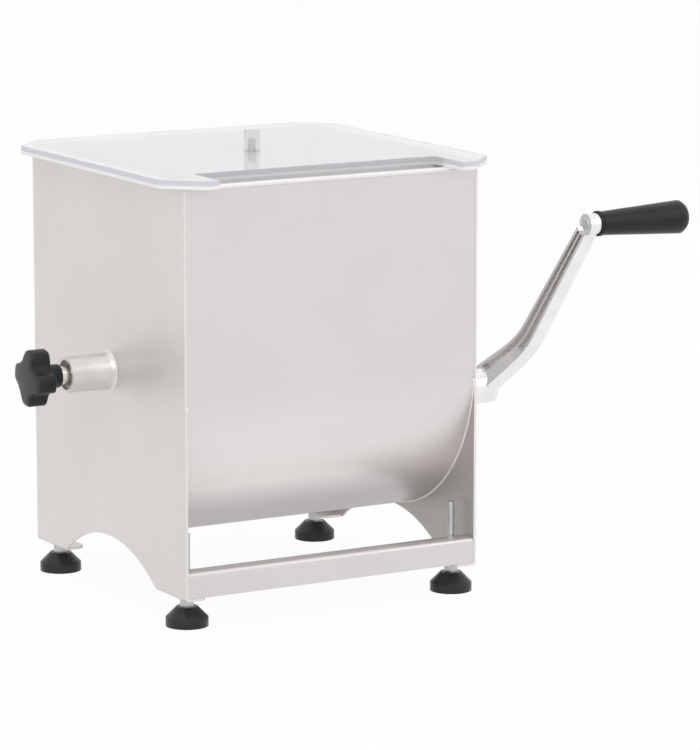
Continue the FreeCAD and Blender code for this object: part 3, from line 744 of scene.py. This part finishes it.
def foot_thread(corner, material):
    """Screw thread over the plain rod of a levelling foot, above its weld nut."""
    stud = "foot_stud_" + corner
    middle = centre_of(stud)
    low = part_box("foot_weld_nuts")[1].z + edge_bevel
    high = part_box(stud)[1].z - edge_bevel
    steps = int((high - low) / thread_pitch * thread_rings_per_pitch)

    def build(shape):
        rings = []
        for step in range(steps + 1):
            z = low + (high - low) * step / steps
            ring = []
            for part, angle in enumerate(angles_around(thread_points)):
                phase = (z / thread_pitch - part / thread_points) % 1.0
                depth = thread_depth * abs(2 * phase - 1)
                reach = foot_stud_radius + thread_cover - depth / 2
                ring.append((middle.x + reach * math.cos(angle), middle.y + reach * math.sin(angle), z))
            rings.append(ring)
        grid_tube(shape, rings)

    mesh_piece("thread_" + corner, "foot_" + corner, material, build)


def add_pieces(finish):
    """Pieces that only the looks have, each on the body that it belongs to."""
    boss_weld(finish["weld"])
    shell_welds(finish["weld"])
    top_lips(finish["lip"])
    star_knob(finish["knob"])
    lid_strip(finish["strip"])
    for corner in foot_corners:
        foot_thread(corner, finish["thread"])


# Stage


def plain_floor():
    """White floor that keeps a soft shadow of the object."""
    mesh = bpy.data.meshes.new("floor")
    corners = [(-1, -1), (1, -1), (1, 1), (-1, 1)]
    mesh.from_pydata([(x * floor_reach, y * floor_reach, 0) for x, y in corners], [], [(0, 1, 2, 3)])
    floor = bpy.data.objects.new("floor", mesh)
    bpy.context.scene.collection.objects.link(floor)
    material = bpy.data.materials.new("floor_white")
    material.use_nodes = True
    tree = material.node_tree
    matt = tree.nodes["Principled BSDF"]
    matt.inputs["Base Color"].default_value = (*floor_tone, 1)
    matt.inputs["Roughness"].default_value = 1.0
    matt.inputs["Specular IOR Level"].default_value = 0.0
    white = tree.nodes.new("ShaderNodeEmission")
    white.inputs["Strength"].default_value = 1.0
    mix = tree.nodes.new("ShaderNodeMixShader")
    path = tree.nodes.new("ShaderNodeLightPath")
    seen = maths(tree, "MAXIMUM", path.outputs["Is Camera Ray"], path.outputs["Is Transmission Ray"])
    seen_share = maths(tree, "MULTIPLY", seen, floor_white_share)
    gloss_share = maths(tree, "MULTIPLY", path.outputs["Is Glossy Ray"], floor_gloss_share)
    tree.links.new(maths(tree, "MAXIMUM", seen_share, gloss_share), mix.inputs["Fac"])
    tree.links.new(matt.outputs[0], mix.inputs[1])
    tree.links.new(white.outputs[0], mix.inputs[2])
    tree.links.new(mix.outputs[0], tree.nodes["Material Output"].inputs["Surface"])
    mesh.materials.append(material)


def white_world():
    """White surroundings, full white to the camera and in what metal and clear pieces show."""
    world = bpy.data.worlds.new("studio")
    bpy.context.scene.world = world
    world.use_nodes = True
    tree = world.node_tree
    background = tree.nodes["Background"]
    background.inputs["Color"].default_value = (1, 1, 1, 1)
    path = tree.nodes.new("ShaderNodeLightPath")
    seen = maths(tree, "MAXIMUM", path.outputs["Is Camera Ray"], path.outputs["Is Glossy Ray"])
    seen = maths(tree, "MAXIMUM", seen, path.outputs["Is Transmission Ray"])
    strength = remap(tree, seen, (world_light, world_white), start=0.0, end=1.0)
    tree.links.new(strength, background.inputs["Strength"])


def soft_lamp(name, place, target, size, watts):
    """Large square lamp aimed at a point."""
    lamp = bpy.data.lights.new(name, "AREA")
    lamp.size = size
    lamp.energy = watts
    holder = bpy.data.objects.new(name, lamp)
    holder.location = place
    holder.rotation_euler = (Vector(target) - Vector(place)).to_track_quat("-Z", "Y").to_euler()
    bpy.context.scene.collection.objects.link(holder)


def studio():
    """White surroundings and floor, with soft lamps aimed at the tub."""
    white_world()
    plain_floor()
    for name, (place, size, watts) in lamps.items():
        soft_lamp(name, place, centre_of("tub_shell"), size, watts)


def photograph_camera():
    """Camera with the photograph's view of the object."""
    camera = bpy.data.cameras.new("camera")
    camera.lens = camera_lens
    camera.sensor_width = camera_sensor
    camera.clip_end = camera_reach
    holder = bpy.data.objects.new("camera", camera)
    holder.location = camera_place
    holder.rotation_euler = (math.radians(90 - camera_dip), 0, math.radians(-camera_turn))
    bpy.context.scene.collection.objects.link(holder)
    bpy.context.scene.camera = holder


finish = dress_nodes()
soften_edges()
add_pieces(finish)
studio()
photograph_camera()
bpy.context.scene.view_settings.view_transform = "Standard"
